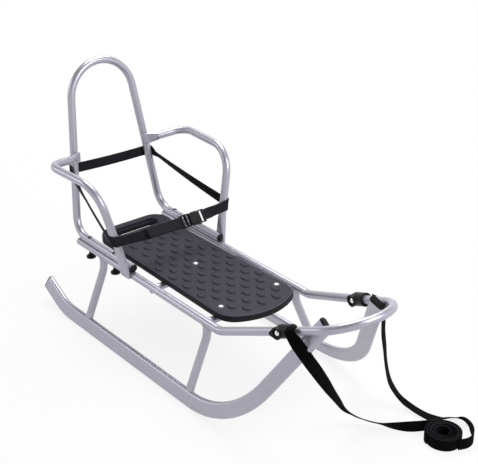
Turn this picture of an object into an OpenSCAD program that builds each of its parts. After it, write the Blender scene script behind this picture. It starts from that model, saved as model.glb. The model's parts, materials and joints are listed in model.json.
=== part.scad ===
/* [Tubes] */
// outside diameter of the frame, backrest, armrest and leg tubes
tube_d = 18; // [15:0.5:22]
// half the spacing of the side rails, to the tube axes
rail_half = 120; // [105:1:140]
// height of the side rails' axes above the ground
rail_z = 174; // [160:1:190]
// length of a side rail, from its rear end to the bend of the bow
rail_len = 529; // [500:1:580]
// angle at which the bow rises from the side rails, in degrees
bow_rise = 22.3; // [18:0.1:26]
// length of the bow along its slope, to its front
bow_len = 345; // [320:1:370]
// radius of the round front of the bow
bow_r = 88.6; // [70:0.2:92]
// radius of the bend between rail and bow
kink_r = 50; // [35:1:80]

/* [Runners] */
// height of the runner tube's flat-oval section
runner_h = 35; // [30:0.5:38]
// thickness of the runner tube
runner_t = 15; // [12:0.5:17]
// half the track, to the middle of the runners' lower edges
track_half = 178; // [165:1:190]
// distance along the bow at which the runners' outer faces touch it
touch_at = 243; // [235:1:260]
// start of the front curve, behind the bend of the bow
front_start = 31; // [15:1:45]
// radius of the front curve, to the runner's middle
front_r = 212.5; // [195:0.5:220]
// angle of the front curve, in degrees
front_turn = 61.5; // [58:0.5:64]
// straight length of the runner beyond the front curve
front_len = 198; // [170:1:215]
// start of the rear curve, before the rear ends of the rails
rear_start = 34; // [20:1:60]
// radius of the rear curve, to the runner's middle
rear_r = 197.5; // [150:0.5:240]
// angle of the rear curve, in degrees
rear_turn = 17.5; // [12:0.5:22]
// straight length of the runner beyond the rear curve
rear_len = 64.5; // [40:0.5:90]

/* [Legs and crossbars] */
// front legs, behind the bend of the bow
leg_front = 43; // [32:1:60]
// rear legs, before the rear ends of the rails
leg_rear = 98; // [70:1:130]
// depth below the rails' axes at which the legs bend outward
leg_drop = 30; // [24:1:40]
// radius of the bend in the legs
leg_r = 60; // [40:1:90]
// length over which the legs flatten towards the runners
leg_flat = 34; // [20:1:45]
// diameter of the crossbars
cross_d = 16; // [12:0.5:18]
// front crossbar, behind the bend of the bow
cross_front = 54; // [48:1:70]
// middle crossbar, behind the bend of the bow
cross_mid = 241; // [220:1:280]
// rear crossbar, before the rear ends of the rails
cross_rear = 89; // [76:1:120]

/* [Seat] */
// half the seat's width at the front
seat_half = 97; // [90:0.5:100]
// half the seat's width at the rear
seat_half_rear = 90; // [84:0.5:97]
// how far the seat's front stands before the bend of the bow
seat_front = 20; // [12:1:30]
// distance of the seat's rear edge before the rear ends of the rails
seat_back = 19; // [12:1:30]
// radius of the seat's front edge
seat_front_r = 140; // [125:1:180]
// radius of the seat's front corners
seat_corner_r = 50; // [40:1:58]
// radius of the seat's rear corners
seat_rear_r = 40; // [30:1:50]
// thickness of the seat
seat_t = 16.5; // [14:0.5:20]
// height of the grip behind the hand slot, above the seat
grip_h = 7; // [3:0.5:12]
// width of the grip behind the hand slot
grip_w = 22; // [18:0.5:26]
// length over which the grip slopes down to the seat
grip_run = 40; // [25:1:46]
// length of the hand slot across the seat
slot_len = 120; // [100:1:130]
// width of the hand slot
slot_w = 26; // [20:1:30]
// distance of the hand slot's middle from the seat's rear edge
slot_in = 36; // [30:1:42]

/* [Backrest] */
// length of the backrest's feet, from their front ends to the corner
foot_len = 235; // [210:1:260]
// distance of that corner behind the rear ends of the rails
foot_over = 14; // [10:1:30]
// half the width between the uprights at their foot
upright_half = 118; // [110:1:122]
// lean of the backrest, in degrees
back_lean = 8.4; // [4:0.2:14]
// length of the backrest along its slope, from the feet to the top
back_len = 383; // [350:1:410]
// radius of the top of the backrest
back_r = 83; // [70:1:85]
// radius of the bend at the foot of the backrest
foot_r = 45; // [35:1:55]
// distance of the front knobs behind the front ends of the feet
bolt_first = 75; // [60:1:90]
// distance between the knobs of a side
bolt_pitch = 102; // [80:1:110]
// diameter of the knobs
knob_d = 22; // [18:0.5:26]

/* [Armrests] */
// height of the armrests at the uprights
arm_back_z = 367; // [350:1:380]
// outermost half width of the armrests
arm_half = 186; // [178:1:192]
// half width of the armrests at their front corners
arm_front_half = 178; // [170:1:186]
// rear corner of the armrests, before the corner of the backrest
arm_rear = 19; // [10:1:30]
// front corner of the armrests, behind the front ends of the feet
arm_front = 37; // [25:1:50]
// lower end of the armrests, behind the front ends of the feet
arm_foot = 14; // [10:1:24]
// height of the armrests' tops
arm_z = 383; // [374:1:395]
// radius of the armrests' rear bends
arm_rear_r = 40; // [30:1:45]
// radius of the armrests' front bends
arm_front_r = 65; // [50:1:75]
// height of the armrests' flattened ends
flat_h = 24; // [20:0.5:26]
// thickness of the armrests' flattened ends
flat_t = 6; // [4:0.5:8]

/* [Straps] */
// width of the webbing
web_w = 25; // [20:1:30]
// thickness of the belt's webbing
web_t = 2; // [1.5:0.1:3]
// height of the belt at the uprights
belt_back_z = 337; // [325:1:342]
// height of the belt at the armrests' front posts
belt_front_z = 260; // [250:1:275]
// distance of the tow clamps along the bow
clamp_at = 205; // [190:1:212]
// outer diameter of the rolled end of the tow strap
coil_d = 74; // [65:1:90]
// diameter of the hole in the rolled end of the tow strap
coil_hole_d = 46; // [30:1:50]

/* [Hidden] */
$fa = 6;
$fs = 0.8;
steel = [0.72, 0.71, 0.75];
zinc = [0.82, 0.82, 0.83];
black = [0.10, 0.10, 0.11];
charcoal = [0.27, 0.26, 0.29];

tube_r = tube_d / 2;
// overrun of every cut
over = 1;
// a bend is drawn thinner than the straights by this much, and they lap
draw = 0.02;
oval_draw = 0.3;
lap = 0.4;
// room between pieces that touch without a weld
room = 0.1;

function unit(v) = v / norm(v);
function turn(a, b) = acos(min(1, max(-1, unit(a) * unit(b))));

// angle by which two arms, half_w apart at their foot, lean together
// so that an arc of radius r joins them at the length len
function lean_in(half_w, len, r) =
    acos(r / norm([half_w, len - r])) - atan2(len - r, half_w);

// the frame is centred: the runner's rear tip and the bow's front are equally far out
runner_r = runner_t / 2;
lower_rise = runner_h / 2 - runner_r;
runner_back = rail_len - rear_start;
rear_tip = runner_back + (rear_r + runner_h / 2) * sin(rear_turn) + rear_len * cos(rear_turn);
bow_front = bow_len * cos(bow_rise) + tube_r;
kink_x = (rear_tip - bow_front) / 2;
rail_end = kink_x - rail_len;

bow_in = lean_in(rail_half, bow_len, bow_r);
bow_meet = rail_half / tan(bow_in);
function bow_at(u, side) = [
    kink_x + u * cos(bow_rise), side * (rail_half - u * tan(bow_in)), rail_z + u * sin(bow_rise)
];
frame_pts = [
    [rail_end, -rail_half, rail_z], [kink_x, -rail_half, rail_z], bow_at(bow_meet, 0),
    [kink_x, rail_half, rail_z], [rail_end, rail_half, rail_z]
];
frame_radii = [kink_r, bow_r, kink_r];

// the runners lean inward so that their outer faces just touch the bow
touch_y = track_half - rail_half + touch_at * tan(bow_in);
touch_z = rail_z + touch_at * sin(bow_rise) - runner_r;
runner_lean = atan2(touch_y, touch_z) + asin((runner_r + tube_r + room) / norm([touch_y, touch_z]));
runner_top_y = track_half - lower_rise * sin(runner_lean);
runner_top_z = runner_r + lower_rise * cos(runner_lean);

// the backrest's feet lie on the rails
foot_x = rail_end - foot_over;
foot_tip = foot_x + foot_len;
foot_z = rail_z + tube_d;
up_in = lean_in(upright_half, back_len, back_r);
up_meet = upright_half / tan(up_in);
function up_at(v, side) = [
    foot_x - v * sin(back_lean), side * (upright_half - v * tan(up_in)), foot_z + v * cos(back_lean)
];
function up_at_z(z, side) = up_at((z - foot_z) / cos(back_lean), side);
hoop_pts = [
    [foot_tip, -rail_half, foot_z], up_at(0, -1), up_at(up_meet, 0), up_at(0, 1),
    [foot_tip, rail_half, foot_z]
];
hoop_radii = [foot_r, back_r, foot_r];

// puts children on the line from a to b, their z along it
module on_line(a, b) {
    v = b - a;
    translate(a)
        rotate([0, acos(v[2] / norm(v)), atan2(v[1], v[0])])
            children();
}

// puts children at p, with the axes x, y and z along the given directions
module in_frame(p, x, y, z) multmatrix([
    [x[0], y[0], z[0], p[0]], [x[1], y[1], z[1], p[1]], [x[2], y[2], z[2], p[2]], [0, 0, 0, 1]
]) children();

module sides(side) {
    if (side < 0) children();
    else mirror([0, 1, 0]) children();
}

// a round bar between two points
module bar(a, b, d) on_line(a, b) cylinder(d = d, h = norm(b - a));

// a torus piece of radius r round the corner q, from direction a to direction b
module elbow(q, a, b, r, d) {
    ua = unit(a);
    ub = unit(b);
    t = turn(a, b);
    axis = unit(cross(ua, ub));
    out = cross(ua, axis);
    in_frame(q - ua * r * tan(t / 2) - out * r, out, ua, axis)
        rotate_extrude(angle = t)
            translate([r, 0])
                circle(d = d);
}

function reach_at(p, i, r) = (i == 0 || i == len(p) - 1) ? 0 :
    r[i - 1] * tan(turn(p[i] - p[i - 1], p[i + 1] - p[i]) / 2);

// a tube through the corner points p, bent with the radii r
module bent_tube(p, r, d) {
    for (i = [0 : len(p) - 2]) {
        v = unit(p[i + 1] - p[i]);
        a = i == 0 ? 0 : reach_at(p, i, r) - lap;
        b = i == len(p) - 2 ? 0 : reach_at(p, i + 1, r) - lap;
        bar(p[i] + v * a, p[i + 1] - v * b, d);
    }
    for (i = [1 : len(p) - 2])
        elbow(p[i], p[i] - p[i - 1], p[i + 1] - p[i], r[i - 1], d - draw);
}

// a low dome of diameter d and height h
module dome(d, h) {
    ball_r = (d * d / 4 + h * h) / (2 * h);
    rotate_extrude()
        intersection() {
            translate([0, h - ball_r]) circle(r = ball_r);
            square([d / 2, h]);
        }
}

// a flat oval, h by t, its long way along x
module flat_oval(h, t) {
    square([h - t, t], center = true);
    for (s = [-1, 1])
        translate([s * (h - t) / 2, 0])
            circle(d = t);
}

// a flat oval bar along x, its long way along y
module oval_bar(len, h, t) rotate([0, 90, 0]) linear_extrude(len) rotate(90) flat_oval(h, t);

plug_wall = 2;
plug_d = tube_d - 2 * plug_wall;
plug_in = 12;
plug_rim = 1.5;
plug_dome = 3;

// a plug at the origin that fills a tube towards -z and shows a domed head
module tube_plug() {
    translate([0, 0, -plug_in]) cylinder(d = plug_d, h = plug_in);
    cylinder(d = tube_d, h = plug_rim);
    translate([0, 0, plug_rim]) dome(tube_d, plug_dome);
}
module plug_socket() translate([0, 0, -plug_in]) cylinder(d = plug_d, h = plug_in + over);

// bolts hold the feet on the rails: a domed head above, a knob below
bolt_d = 6;
bolt_head_d = 10;
bolt_head_h = 1;
head_sink = 1;
head_z = foot_z + tube_r - head_sink;
knob_rim = 3.5;
knob_dome = 1.5;
knob_cone = 6.5;
knob_neck_d = 9;
knob_neck = 5;
knob_z = rail_z - tube_r - knob_rim - knob_cone - knob_neck;
knob_floor = 3;
module at_bolts() for (side = [-1, 1], k = [0, 1])
    translate([foot_tip - bolt_first - k * bolt_pitch, side * rail_half, 0])
        children();
module bolt_holes() at_bolts() {
    translate([0, 0, knob_z + knob_floor])
        cylinder(d = bolt_d + 2 * room, h = head_z - knob_z);
    translate([0, 0, head_z])
        cylinder(d = bolt_head_d + 2 * room, h = tube_r);
}

module frame_solid() bent_tube(frame_pts, frame_radii, tube_d);
module at_rail_ends() for (side = [-1, 1])
    translate([rail_end, side * rail_half, rail_z])
        rotate([0, -90, 0])
            children();

module frame_tube() color(steel) difference() {
    frame_solid();
    at_rail_ends() plug_socket();
    bolt_holes();
}
module rail_plugs() color(black) at_rail_ends() tube_plug();

// the right runner's own plane: x forward, y up the plane, z outward
module runner_plane() translate([kink_x, -track_half, runner_r])
    rotate([90 - runner_lean, 0, 0])
        translate([0, lower_rise, 0])
            children();
module at_front_end() translate([-front_start, front_r, 0]) rotate(front_turn)
    translate([0, -front_r, 0]) children();
module at_rear_end() translate([-runner_back, rear_r, 0]) rotate(-rear_turn)
    translate([0, -rear_r, 0]) rotate([0, 180, 0]) children();
module runner_bend(x, r, from, angle) translate([x, r, 0])
    rotate(from)
        rotate_extrude(angle = angle)
            translate([r, 0])
                flat_oval(runner_h - oval_draw, runner_t - oval_draw);

module runner_solid() runner_plane() {
    translate([-runner_back - lap, 0, 0])
        oval_bar(runner_back - front_start + 2 * lap, runner_h, runner_t);
    runner_bend(-front_start, front_r, -90, front_turn);
    runner_bend(-runner_back, rear_r, -90 - rear_turn, rear_turn);
    at_front_end() translate([-lap, 0, 0]) oval_bar(front_len + lap, runner_h, runner_t);
    at_rear_end() translate([-lap, 0, 0]) oval_bar(rear_len + lap, runner_h, runner_t);
}
module at_runner_ends() runner_plane() {
    at_front_end() translate([front_len, 0, 0]) children();
    at_rear_end() translate([rear_len, 0, 0]) children();
}
module oval_plug(grow) translate([-plug_in, 0, 0])
    oval_bar(plug_in + grow, runner_h - 2 * plug_wall, runner_t - 2 * plug_wall);

// the plug's head: thin ovals, the last one smaller all round
head_edge = 5;
head_slice = 0.2;
module oval_head() hull() {
    oval_bar(plug_rim, runner_h, runner_t);
    translate([plug_rim, 0, 0])
        oval_bar(plug_dome - head_slice, runner_h - head_edge / 2, runner_t - head_edge / 2);
    translate([plug_rim, 0, 0])
        oval_bar(plug_dome, runner_h - 2 * head_edge, runner_t - 2 * head_edge);
}

module runner_one() difference() {
    runner_solid();
    at_runner_ends() oval_plug(over);
}
module runner_right() color(steel) runner_one();
module runner_left() color(steel) mirror([0, 1, 0]) runner_one();
module runner_plugs() color(black) for (side = [-1, 1]) sides(side) at_runner_ends() {
    oval_plug(0);
    oval_head();
}

// a leg from inside the rail to the runner's upper edge, which its flattened end saddles
leg_in = 3;
leg_flat_w = 25;
leg_flat_t = 9;
saddle = 3;
module leg_one(x) {
    knee = [x, -rail_half, rail_z - leg_drop];
    toe = [x, -runner_top_y, runner_top_z];
    ankle = toe + unit(knee - toe) * leg_flat;
    difference() {
        union() {
            bent_tube([[x, -rail_half, rail_z - leg_in], knee, ankle], [leg_r], tube_d);
            hull() {
                on_line(ankle, knee) cylinder(d = tube_d - oval_draw, h = lap, $fn = 40);
                on_line(toe, knee) rotate(90) linear_extrude(lap) flat_oval(leg_flat_w, leg_flat_t);
            }
        }
        frame_solid();
        runner_solid();
        runner_plane()
            translate([x - kink_x, -runner_h / 2 - saddle, 0])
                cube([2 * tube_d, 2 * runner_h, 2 * tube_d], center = true);
    }
}
module leg_front_right() color(steel) leg_one(kink_x - leg_front);
module leg_front_left() color(steel) mirror([0, 1, 0]) leg_one(kink_x - leg_front);
module leg_rear_right() color(steel) leg_one(rail_end + leg_rear);
module leg_rear_left() color(steel) mirror([0, 1, 0]) leg_one(rail_end + leg_rear);

// the crossbars carry the seat and run into the rails' inner sides
seat_rise = 1;
seat_z = rail_z + seat_rise;
cross_z = seat_z - cross_d / 2;
cross_in = 3;
cross_half = rail_half - tube_r + cross_in;
CROSS_X = [kink_x - cross_front, kink_x - cross_mid, rail_end + cross_rear];
module crossbar(x) color(steel) difference() {
    bar([x, -cross_half, cross_z], [x, cross_half, cross_z], cross_d);
    for (side = [-1, 1])
        bar([rail_end, side * rail_half, rail_z], [kink_x, side * rail_half, rail_z], tube_d);
    screw_shafts(0);
}
module crossbar_front() crossbar(CROSS_X[0]);
module crossbar_middle() crossbar(CROSS_X[1]);
module crossbar_rear() crossbar(CROSS_X[2]);

// screws: place along the sled, distance from its middle
screw_aside = 75;
ALONG = 0;
ASIDE = 1;
SCREWS = [
    [CROSS_X[0], -screw_aside], [CROSS_X[0], screw_aside], [CROSS_X[1], 0],
    [CROSS_X[2], -screw_aside], [CROSS_X[2], screw_aside]
];
screw_d = 5;
screw_head_d = 12;
screw_head_h = 2.5;
screw_in = 12;
module screw_shafts(up) for (s = SCREWS)
    translate([s[ALONG], s[ASIDE], seat_z - screw_in])
        cylinder(d = screw_d, h = screw_in + seat_t + up);
module seat_screws() color(zinc) {
    screw_shafts(0);
    for (s = SCREWS)
        translate([s[ALONG], s[ASIDE], seat_z + seat_t])
            dome(screw_head_d, screw_head_h);
}

// the seat's outline: a round front edge, round corners and sides that narrow to the rear
corner_y = seat_half - seat_corner_r;
front_mid = kink_x + seat_front - seat_front_r;
corner_x = front_mid + sqrt(pow(seat_front_r - seat_corner_r, 2) - pow(corner_y, 2));
corner_turn = atan2(corner_y, corner_x - front_mid);
seat_end = rail_end + seat_back;
rear_x = seat_end + seat_rear_r;
rear_y = seat_half_rear - seat_rear_r;
// the seat's edge: rounded above, bevelled below
seat_round = 7;
seat_bevel = 3;
round_step = 18;
function edge_profile(r, t) = concat(
    [[0, 0], [r - seat_bevel, 0], [r, seat_bevel]],
    [for (a = [0 : round_step : 90])
        [r - seat_round + seat_round * cos(a), t - seat_round + seat_round * sin(a)]],
    [[0, t]]
);
module puck(r, t) rotate_extrude($fn = 48) polygon(edge_profile(r, t));
module seat_board() hull() {
    for (side = [-1, 1]) {
        translate([corner_x, side * corner_y, 0]) puck(seat_corner_r, seat_t);
        translate([rear_x, side * rear_y, 0]) puck(seat_rear_r, seat_t);
    }
    translate([front_mid, 0, 0])
        rotate(-corner_turn)
            rotate_extrude(angle = 2 * corner_turn, $fn = 90)
                polygon(edge_profile(seat_front_r, seat_t));
}
// the grip: the seat's raised rear, which a ramp beside the hand slot brings down to the board
ramp_reach = 2 * seat_half;
module seat_grip() difference() {
    hull()
        for (side = [-1, 1], x = [rear_x, rear_x + grip_run])
            translate([x, side * rear_y, 0])
                puck(seat_rear_r, seat_t + grip_h);
    translate([seat_end + grip_w, -ramp_reach, seat_t + grip_h])
        rotate([0, atan2(grip_h + draw, grip_run), 0])
            cube([ramp_reach, 2 * ramp_reach, ramp_reach]);
}
module hand_slot() translate([seat_end + slot_in, 0, -over])
    linear_extrude(seat_t + grip_h + 2 * over)
        rotate(90)
            flat_oval(slot_len, slot_w);
// a recess under the seat round the hand slot, for the fingers
relief_in = 6;
relief_out = 8;
module slot_relief() translate([seat_end + slot_in, 0, -over])
    linear_extrude(relief_in + over)
        rotate(90)
            flat_oval(slot_len + 2 * relief_out, slot_w + 2 * relief_out);
module seat() color(charcoal) difference() {
    translate([0, 0, seat_z])
        difference() {
            union() {
                seat_board();
                seat_grip();
            }
            hand_slot();
            slot_relief();
        }
    screw_shafts(over);
}

module hoop_solid() bent_tube(hoop_pts, hoop_radii, tube_d);
module at_foot_ends() for (side = [-1, 1])
    translate([foot_tip, side * rail_half, foot_z])
        rotate([0, 90, 0])
            children();
module backrest_hoop() color(steel) difference() {
    hoop_solid();
    at_foot_ends() plug_socket();
    bolt_holes();
}
module backrest_plugs() color(black) at_foot_ends() tube_plug();
module backrest_bolts() color(black) at_bolts() {
    translate([0, 0, knob_z + knob_floor + room])
        cylinder(d = bolt_d, h = head_z - knob_z - knob_floor);
    translate([0, 0, head_z + room]) {
        cylinder(d = bolt_head_d, h = head_sink);
        translate([0, 0, head_sink]) dome(bolt_head_d, bolt_head_h);
    }
}
module backrest_knobs() color(black) difference() {
    at_bolts() translate([0, 0, knob_z]) {
        mirror([0, 0, 1]) dome(knob_d, knob_dome);
        cylinder(d = knob_d, h = knob_rim);
        translate([0, 0, knob_rim])
            cylinder(d1 = knob_d, d2 = knob_neck_d, h = knob_cone);
        translate([0, 0, knob_rim + knob_cone])
            cylinder(d = knob_neck_d, h = knob_neck + tube_r / 2);
    }
    for (side = [-1, 1])
        bar([rail_end, side * rail_half, rail_z], [kink_x, side * rail_half, rail_z], tube_d + 2 * room);
    bolt_holes();
}

// the right armrest: its upper end lies flat behind the upright, its lower one outside foot and rail
flat_past = 3;
flat_len = 10;
flat_loft = 22;
flat_off = tube_r + room + flat_t / 2;
arm_seat = up_at_z(arm_back_z, -1);
arm_elbow = [foot_x + arm_rear, -arm_half, arm_z];
arm_knee = [foot_tip - arm_front, -arm_front_half, arm_z];
arm_toe = [foot_tip - arm_foot, -rail_half - flat_off, foot_z];
up_way = unit(up_at(back_len, -1) - up_at(0, -1));
arm_out = arm_elbow - arm_seat;
arm_way = unit(arm_out - up_way * (arm_out * up_way));
arm_face = cross(arm_way, up_way);
paddle_mid = arm_seat - arm_face * flat_off;
arm_start = paddle_mid + arm_way * (flat_len + flat_loft);
// the lower plate widens towards the rail
plate_w = 32;
plate_up = 6;
plate_down = 22;
post_flat = 44;
arm_stop = arm_toe + unit(arm_knee - arm_toe) * post_flat;
module plate_slice(drop, w) translate([arm_toe[0], arm_toe[1], foot_z - drop])
    linear_extrude(lap)
        flat_oval(w, flat_t);
// where the round tube enters a flattened end, that end stands a little proud of it
module tube_mouth(at, from) on_line(at, from)
    translate([0, 0, -lap])
        cylinder(d = tube_d + 2 * oval_draw, h = lap, $fn = 40);
module arm_one() {
    start = arm_start - unit(arm_elbow - arm_start) * lap;
    stop = arm_stop - unit(arm_knee - arm_stop) * lap;
    bent_tube([start, arm_elbow, arm_knee, stop], [arm_rear_r, arm_front_r], tube_d);
    in_frame(paddle_mid, arm_way, up_way, arm_face)
        translate([-flat_past, 0, 0])
            oval_bar(flat_past + flat_len, flat_h, flat_t);
    hull() {
        in_frame(paddle_mid, arm_way, up_way, arm_face)
            translate([flat_len - lap, 0, 0])
                oval_bar(lap, flat_h + oval_draw, flat_t + oval_draw);
        tube_mouth(arm_start, arm_elbow);
    }
    hull() {
        tube_mouth(arm_stop, arm_knee);
        plate_slice(-plate_up, flat_h);
        plate_slice(plate_down, plate_w);
    }
}
module armrest_right() color(steel) arm_one();
module armrest_left() color(steel) mirror([0, 1, 0]) arm_one();

// the belt's loop, in a plane that slopes from the uprights to the armrests' posts
belt_back = up_at_z(belt_back_z, 1);
post_share = (belt_front_z - foot_z) / (arm_z - foot_z);
belt_front = arm_toe + (arm_knee - arm_toe) * post_share;
belt_slope = atan2(belt_front[2] - belt_back[2], belt_front[0] - belt_back[0]);
belt_run = norm([belt_front[2] - belt_back[2], belt_front[0] - belt_back[0]]);
belt_slack = 0.5;
belt_r = tube_r + belt_slack;
module belt_plane() translate([belt_back[0], 0, belt_back[2]]) rotate([0, -belt_slope, 0]) children();
module belt_loop(r) hull() for (side = [-1, 1]) {
    translate([0, side * belt_back[1]]) circle(r = r);
    translate([belt_run, side * belt_front[1]]) circle(r = r);
}
module belt_webbing() color(black) difference() {
    belt_plane()
        linear_extrude(web_w, center = true)
            difference() {
                belt_loop(belt_r + web_t);
                belt_loop(belt_r);
            }
    for (side = [-1, 1])
        sides(side) bar(arm_stop, arm_knee, tube_d);
    hoop_solid();
    at_buckle() linear_extrude(buckle_t) buckle_outline();
}

// the buckle: socket and tongue, a latch window on each side and a bar for the webbing at each end,
// the left one with an open slit
buckle_aside = 55;
buckle_len = 68;
buckle_w = 30;
buckle_t = 12;
buckle_r = 7;
latch_len = 15;
latch_in = 5;
latch_aside = 8;
seam_aside = 10;
seam_w = 1.6;
seam_in = 2;
web_slot_w = 4;
web_slot_in = 6;
module at_buckle() belt_plane()
    translate([belt_run + belt_r + web_t / 2 - buckle_t / 2, buckle_aside, 0])
        rotate([90, 0, 90])
            children();
module buckle_outline() {
    square([buckle_len - 2 * buckle_r, buckle_w], center = true);
    square([buckle_len, buckle_w - 2 * buckle_r], center = true);
    for (a = [-1, 1], b = [-1, 1])
        translate([a * (buckle_len / 2 - buckle_r), b * (buckle_w / 2 - buckle_r)])
            circle(r = buckle_r);
}
module belt_buckle() color(black) at_buckle() difference() {
    linear_extrude(buckle_t)
        difference() {
            buckle_outline();
            for (s = [-1, 1])
                translate([latch_aside, s * buckle_w / 2])
                    square([latch_len, 2 * latch_in], center = true);
        }
    translate([-seam_aside, 0, buckle_t])
        cube([seam_w, buckle_w + 2 * over, 2 * seam_in], center = true);
    for (s = [-1, 1])
        translate([s * (buckle_len / 2 - web_slot_in), 0, buckle_t])
            cube([web_slot_w, web_w, 2 * (s > 0 ? buckle_t + over : seam_in)], center = true);
}

// a tow clamp: a band round the bow and a boss with a bolt; the right one's boss tapers to a wing
band_len = 33;
band_wall = 5;
boss_back = 29;
boss_d = 25;
boss_out = 15;
ring_h = 3;
ring_wall = 3.5;
wing_back = 44;
wing_d = 9;
wing_t = 9;
clamp_bolt_d = 12;
clamp_bolt_h = 3;
module at_clamp(side) translate(bow_at(clamp_at, side))
    rotate([0, -bow_rise, 0])
        rotate(-side * bow_in)
            children();
module at_boss(side) at_clamp(side) translate([-boss_back, 0, 0]) rotate([90, 0, 0]) children();
module clamp_one(side) color(black) difference() {
    union() {
        at_clamp(side)
            translate([-boss_back, 0, 0])
                rotate([0, 90, 0])
                    cylinder(d = tube_d + 2 * band_wall, h = band_len);
        at_boss(side) cylinder(d = boss_d, h = boss_out);
        if (side < 0) at_boss(side) translate([0, 0, boss_out - wing_t])
            linear_extrude(wing_t)
                hull() {
                    circle(d = boss_d - oval_draw, $fn = 40);
                    translate([boss_back - wing_back, 0]) circle(d = wing_d, $fn = 32);
                }
    }
    frame_solid();
    at_boss(side) translate([0, 0, boss_out - ring_h])
        cylinder(d = boss_d - 2 * ring_wall, h = ring_h + over);
}
module tow_clamp_right() clamp_one(-1);
module tow_clamp_left() clamp_one(1);
module tow_clamp_bolts() color(zinc) for (side = [-1, 1]) at_boss(side)
    translate([0, 0, boss_out - ring_h])
        dome(clamp_bolt_d, clamp_bolt_h);

// routes of the tow strap from the clamps to the rolled end: the middle, and the webbing's way across
AT = [0, 1, 2];
ACROSS = [3, 4, 5];
STRAP_RIGHT = [
    [347, -101, 256, 0.3, 0.8, 0.5],
    [360, -113, 246, 0.4, 0.6, 0.7],
    [373, -104, 231, 0.3, 0.8, 0.52],
    [385, -94, 208, 0.3, 0.6, 0.7],
    [387, -77, 181, 0.2, 0.7, 0.7],
    [387, -52, 142, 0.2, 0.7, 0.7],
    [386, -29, 107, 0.1, 0.8, 0.6],
    [386, -7, 74, -0.77, 0.54, 0.36],
    [388, 10, 53, -0.98, 0.19, 0.07],
    [390, 24, 39, -0.99, 0.12, -0.1],
    [394, 39, 27, -0.91, 0.22, -0.36],
    [405, 54, 19, -0.73, 0.41, -0.55],
    [421, 70, 14.5, -0.58, 0.51, -0.65],
    [441, 87, 13, -0.29, 0.28, -0.9],
    [463, 110, 13, 0, 0, -1],
    [480, 137, 13, 0, 0, -1],
    [491, 158, 13, 0, 0, -1]
];
STRAP_LEFT = [
    [343, 110, 250, 0.2, 0, 1],
    [362, 113, 253, 0, -0.5, 0.9],
    [378, 113, 252, 0.1, -0.9, 0.5],
    [390, 108, 244, 0.3, -0.9, 0.2],
    [396, 101, 230, 0.42, -0.84, 0.36],
    [397, 95, 205, 0.49, -0.87, 0.09],
    [396, 95, 172, 0.55, -0.83, -0.14],
    [393, 105, 128, 0.6, -0.76, -0.27],
    [389, 120, 85, 0.62, -0.72, -0.32],
    [390, 134, 56, 0.7, -0.66, -0.28],
    [396, 153, 25, 0.74, -0.67, -0.12],
    [412, 167, 8, 0.45, -0.88, 0.17],
    [440, 171, 4, 0.19, -0.97, 0.19],
    [463, 176, 4, 0.36, -0.94, 0.1],
    [479, 186, 7.5, 0.54, -0.71, 0.44],
    [489, 199, 9, 0.54, -0.66, 0.53],
    [503, 210, 10, 0.19, -0.77, 0.6],
    [522, 210, 12.5, -0.16, -0.38, 0.91],
    [541, 201, 13, -0.04, -0.02, 1],
    [558, 189, 13, 0, 0, 1],
    [569, 173, 13, 0, 0, 1],
    [571, 156, 13, 0, 0, 1],
    [564, 138, 13, 0, 0, 1]
];
strap_t = 2.4;
// the webbing's section, its edges a little rounded: shares of half its thickness and half its width
edge_share = 0.95;
mid_share = 0.5;
WEB_SHARES = [
    [-1, -edge_share], [-mid_share, -1], [mid_share, -1], [1, -edge_share],
    [1, edge_share], [mid_share, 1], [-mid_share, 1], [-1, edge_share]
];
function pick(row, cols) = [for (c = cols) row[c]];
function flat_ring(p, dir, lie) = let (
    u = unit(dir), w = unit(lie - u * (lie * u)), n = cross(u, w)
) [
    for (c = WEB_SHARES)
        p + n * c[0] * strap_t / 2 + w * c[1] * web_w / 2
];
function onward(p, i) = p[min(i + 1, len(p) - 1)] - p[max(i - 1, 0)];
// a route drawn smooth: steps between two rows, along a curve that also minds the rows beside them
route_steps = 3;
function row(rows, i) = rows[max(0, min(i, len(rows) - 1))];
function between(a, b, c, d, t) = let (rise = t * t * (3 - 2 * t))
    b + (c - b) * rise + (c - a) / 2 * t * pow(1 - t, 2) - (d - b) / 2 * t * t * (1 - t);
function smooth(rows) = concat(
    [for (i = [0 : len(rows) - 2], k = [0 : route_steps - 1])
        between(row(rows, i - 1), rows[i], rows[i + 1], row(rows, i + 2), k / route_steps)],
    [rows[len(rows) - 1]]
);
// two triangles of a twisted face, split the same way on both sides of the webbing
function skin(a, b, c, d, back) = back ? [[a, b, d], [b, c, d]] : [[a, b, c], [a, c, d]];
module flat_strap(route) {
    rows = smooth(route);
    n = len(WEB_SHARES);
    m = len(rows);
    p = [for (r = rows) pick(r, AT)];
    rings = [for (i = [0 : m - 1]) each flat_ring(p[i], onward(p, i), pick(rows[i], ACROSS))];
    polyhedron(rings, concat(
        [[for (j = [0 : n - 1]) j]],
        [for (i = [0 : m - 2], j = [0 : n - 1]) let (k = (j + 1) % n)
            each skin(i * n + j, (i + 1) * n + j, (i + 1) * n + k, i * n + k, j >= n / 2)],
        [[for (j = [n - 1 : -1 : 0]) (m - 1) * n + j]]
    ));
}
module tow_strap_right() color(black) flat_strap(STRAP_RIGHT);
module tow_strap_left() color(black) flat_strap(STRAP_LEFT);
coil_x = 525;
coil_y = 138;
module tow_strap_coil() color(black) translate([coil_x, coil_y, room])
    rotate_extrude()
        translate([coil_hole_d / 2, 0])
            square([(coil_d - coil_hole_d) / 2, web_w]);

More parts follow.
